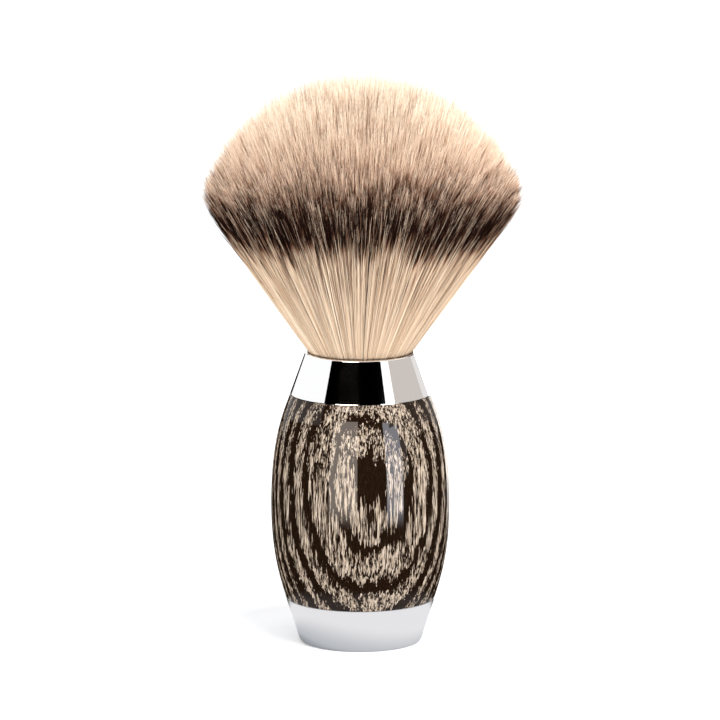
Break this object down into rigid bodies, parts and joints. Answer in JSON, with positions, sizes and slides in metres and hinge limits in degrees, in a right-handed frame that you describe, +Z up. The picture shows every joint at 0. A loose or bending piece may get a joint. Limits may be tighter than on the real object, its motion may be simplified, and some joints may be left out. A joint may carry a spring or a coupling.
{
  "type": "shaving brush",
  "caption": "Upright shaving brush: a wide domed fan of fibres in a screw-in holder, on a barrel-shaped wooden handle with a bright metal collar and foot.",
  "frame": {"origin": "centre of the flat underside that the brush stands on", "axes": "+Z up along the axis of every turned piece, from the foot to the fibres' tips; +X through the upper pin"},
  "size_m": [0.0694, 0.0694, 0.1233],
  "materials": {
    "chrome": "polished chrome plate",
    "wood": "dark open-grained wood with pale filled pores, under clear lacquer",
    "fibre": "fine soft fibres, cream with a dark band",
    "holder_plastic": "moulded ivory plastic",
    "resin": "cured amber resin",
    "aluminium": "plain",
    "brass": "machined",
    "steel": "zinc plated",
    "rubber": "matt black"
  },
  "bodies": {
    "handle": {"base_cap": "chrome", "base_disc": "chrome", "base_o_ring": "rubber", "lower_pin": "steel", "wood_barrel": "wood", "upper_pin": "steel", "ferrule_o_ring": "rubber", "ferrule": "chrome", "tie_screw": "steel", "head_washer": "steel", "nut_washer": "steel", "tie_nut": "steel", "threaded_bush": "brass"},
    "seal": {"knot_seal": "rubber"},
    "knot": {"knot_holder": "holder_plastic", "potting_plug": "resin", "binding_ring": "aluminium", "fibre_bundle": "fibre"}
  },
  "joints": [
    {"name": "knot_lift", "type": "slide", "parent": "handle", "child": "seal", "axis": [0, 0, 1], "range_m": [0, 0.006]},
    {"name": "knot_turn", "type": "hinge", "parent": "seal", "child": "knot", "pos_m": [0, 0, 0.0526], "axis": [0, 0, 1], "range_deg": [0, 1080]}
  ],
  "couplings": [
    {"joint": "knot_lift", "follows": "knot_turn", "m_per_rad": 0.0003183}
  ]
}
